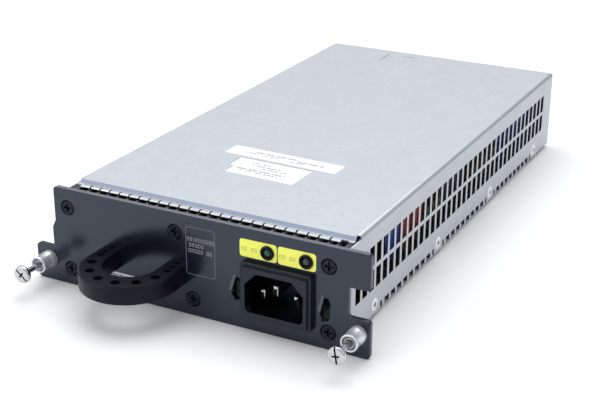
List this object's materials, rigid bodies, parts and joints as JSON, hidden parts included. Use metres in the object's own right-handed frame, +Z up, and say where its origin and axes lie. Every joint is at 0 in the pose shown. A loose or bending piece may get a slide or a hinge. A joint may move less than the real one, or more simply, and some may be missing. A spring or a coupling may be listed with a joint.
{
  "type": "hot swap server power supply",
  "caption": "Plug-in server power supply with a front panel, U pull handle, AC inlet, two status lamps, captive screws and a vented sheet-metal case.",
  "frame": {"origin": "middle of the footprint of the whole module at the panel's lower edge", "axes": "+X to the right seen from the front, +Y from the front panel to the rear connector, +Z up"},
  "size_m": [0.1496, 0.29, 0.0417],
  "materials": {
    "panel_paint": "satin",
    "galvanised": "satin",
    "spring_steel": "bright",
    "black_screw": "satin",
    "nickel": "bright",
    "zinc": "satin",
    "black_moulding": "matte",
    "inlet_black": "semi gloss",
    "lamp_green": "clear",
    "lamp_clear": "clear",
    "label_lime": "matte",
    "label_white": "matte",
    "board_green": "satin",
    "insulator": "satin",
    "capacitor_blue": "semi gloss",
    "capacitor_red": "semi gloss",
    "capacitor_yellow": "semi gloss",
    "relay_black": "matte",
    "sleeve_dark_blue": "semi gloss",
    "copper_winding": "satin",
    "ferrite": "matte",
    "tape_yellow": "satin",
    "sink_aluminium": "satin",
    "chip_black": "matte",
    "copper_bar": "satin",
    "contact_metal": "bright",
    "fuse_ceramic": "satin",
    "wire_blue": "satin",
    "wire_brown": "satin",
    "wire_earth": "satin",
    "edge_parts": "satin"
  },
  "bodies": {
    "housing": {"front_panel": "panel_paint", "top_cover": "galvanised", "chassis_tray": "galvanised", "front_bulkhead": "galvanised", "contact_finger_strip": "spring_steel", "panel_screws": "black_screw", "clinch_nuts": "zinc", "cover_screws": "zinc", "captive_ferrules": "nickel", "captive_spring_left": "spring_steel", "captive_spring_right": "spring_steel", "pull_handle": "black_moulding", "handle_screws": "zinc", "inlet_housing": "inlet_black", "inlet_blades": "contact_metal", "lamp_rings": "black_moulding", "lamp_lens_green": "lamp_green", "lamp_lens_clear": "lamp_clear", "status_labels": "label_lime", "cover_labels": "label_white", "main_board": "board_green", "board_posts": "zinc", "board_screws": "zinc", "insulator_sheet": "insulator", "line_filter_capacitor": "capacitor_blue", "safety_capacitors": "capacitor_red", "film_capacitors": "capacitor_yellow", "edge_components": "edge_parts", "relay_block": "relay_black", "bridge_rectifier": "relay_black", "switching_transistors": "chip_black", "output_capacitors": "sleeve_dark_blue", "auxiliary_capacitors": "sleeve_dark_blue", "bulk_capacitors": "relay_black", "line_chokes": "copper_winding", "boost_choke": "copper_winding", "transformer_core": "ferrite", "transformer_winding": "tape_yellow", "primary_heat_sink": "sink_aluminium", "output_heat_sink": "sink_aluminium", "control_board": "board_green", "control_chips": "chip_black", "output_choke": "ferrite", "output_bus_bars": "copper_bar", "rear_connector_shell": "inlet_black", "rear_signal_pins": "contact_metal", "line_fuse": "fuse_ceramic", "neutral_wire": "wire_blue", "earth_wire": "wire_earth", "live_wire": "wire_brown"},
    "carriage_left": {"captive_collar_left": "nickel"},
    "turning_screw_left": {"captive_screw_left": "nickel"},
    "carriage_right": {"captive_collar_right": "nickel"},
    "turning_screw_right": {"captive_screw_right": "nickel"}
  },
  "joints": [
    {"name": "captive_push_left", "type": "slide", "parent": "housing", "child": "carriage_left", "axis": [0, 1, 0], "range_m": [0, 0.0045], "stiffness_N_per_m": 400, "springref_m": -0.002, "deforming": ["captive_spring_left"]},
    {"name": "captive_turn_left", "type": "hinge", "parent": "carriage_left", "child": "turning_screw_left", "pos_m": [-0.0683, -0.1267, 0.0096], "axis": [0, 1, 0], "continuous": true},
    {"name": "captive_push_right", "type": "slide", "parent": "housing", "child": "carriage_right", "axis": [0, 1, 0], "range_m": [0, 0.0045], "stiffness_N_per_m": 400, "springref_m": -0.002, "deforming": ["captive_spring_right"]},
    {"name": "captive_turn_right", "type": "hinge", "parent": "carriage_right", "child": "turning_screw_right", "pos_m": [0.0702, -0.1267, 0.0096], "axis": [0, 1, 0], "continuous": true}
  ]
}
